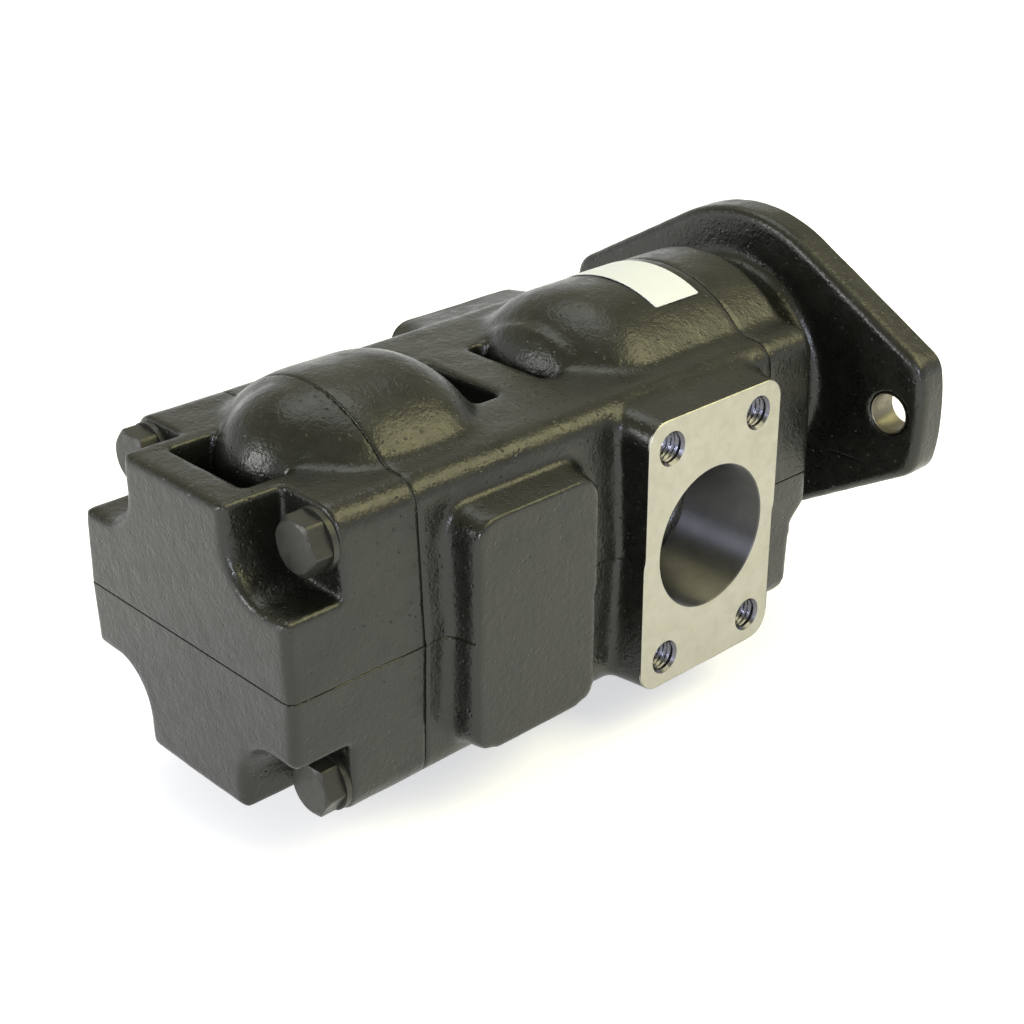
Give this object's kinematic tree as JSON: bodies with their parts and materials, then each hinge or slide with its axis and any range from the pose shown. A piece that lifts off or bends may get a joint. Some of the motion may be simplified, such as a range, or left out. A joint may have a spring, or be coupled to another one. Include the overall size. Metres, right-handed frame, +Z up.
{
  "type": "tandem hydraulic gear pump",
  "caption": "Cast-iron tandem gear pump with a round-backed body, two-bolt spigot flange, splined drive shaft, square suction port and a bolted, scalloped rear cover.",
  "frame": {"origin": "on the drive shaft's axis, in the front mounting face of the two-bolt flange", "axes": "+X out along the drive shaft, +Z up, the suction port faces -Y"},
  "size_m": [0.3084, 0.174, 0.151],
  "materials": {
    "cast_enamel": "semi-gloss black enamel over sand-cast iron, faces bare where machined",
    "gear_steel": "ground case-hardened steel",
    "plain_steel": "turned steel",
    "spring_steel": "phosphated spring steel",
    "bolt_steel": "black enamel over steel",
    "block_aluminium": "machined",
    "bush_bronze": "sintered bronze",
    "seal_rubber": "nitrile",
    "backup_plastic": "filled PTFE"
  },
  "bodies": {
    "casing": {"mounting_cover": "cast_enamel", "pump_body": "cast_enamel", "rear_cover": "cast_enamel", "front_joint_seal": "seal_rubber", "rear_joint_seal": "seal_rubber", "outer_shaft_seal": "seal_rubber", "inner_shaft_seal": "seal_rubber", "seal_spacer": "plain_steel", "retaining_ring": "spring_steel", "front_dowels": "plain_steel", "rear_dowels": "plain_steel", "tie_bolts": "bolt_steel", "tie_bolt_washers": "bolt_steel", "front_outer_bearing_block": "block_aluminium", "front_outer_balance_seal": "seal_rubber", "front_outer_backup_strip": "backup_plastic", "front_outer_drive_bush": "bush_bronze", "front_outer_idler_bush": "bush_bronze", "front_inner_bearing_block": "block_aluminium", "front_inner_balance_seal": "seal_rubber", "front_inner_backup_strip": "backup_plastic", "front_inner_drive_bush": "bush_bronze", "front_inner_idler_bush": "bush_bronze", "rear_inner_bearing_block": "block_aluminium", "rear_inner_balance_seal": "seal_rubber", "rear_inner_backup_strip": "backup_plastic", "rear_inner_drive_bush": "bush_bronze", "rear_inner_idler_bush": "bush_bronze", "rear_outer_bearing_block": "block_aluminium", "rear_outer_balance_seal": "seal_rubber", "rear_outer_backup_strip": "backup_plastic", "rear_outer_drive_bush": "bush_bronze", "rear_outer_idler_bush": "bush_bronze"},
    "drive_train": {"front_drive_gear": "gear_steel", "coupling_sleeve": "gear_steel", "rear_drive_gear": "gear_steel"},
    "front_idler": {"front_idler_gear": "gear_steel"},
    "rear_idler": {"rear_idler_gear": "gear_steel"}
  },
  "joints": [
    {"name": "drive_spin", "type": "hinge", "parent": "casing", "child": "drive_train", "pos_m": [0, 0, 0], "axis": [1, 0, 0], "continuous": true},
    {"name": "front_idler_spin", "type": "hinge", "parent": "casing", "child": "front_idler", "pos_m": [-0.08675, 0, -0.045], "axis": [1, 0, 0], "continuous": true},
    {"name": "rear_idler_spin", "type": "hinge", "parent": "casing", "child": "rear_idler", "pos_m": [-0.19205, 0, -0.045], "axis": [1, 0, 0], "continuous": true}
  ],
  "couplings": [
    {"joint": "front_idler_spin", "follows": "drive_spin", "ratio": -1},
    {"joint": "rear_idler_spin", "follows": "drive_spin", "ratio": -1}
  ]
}
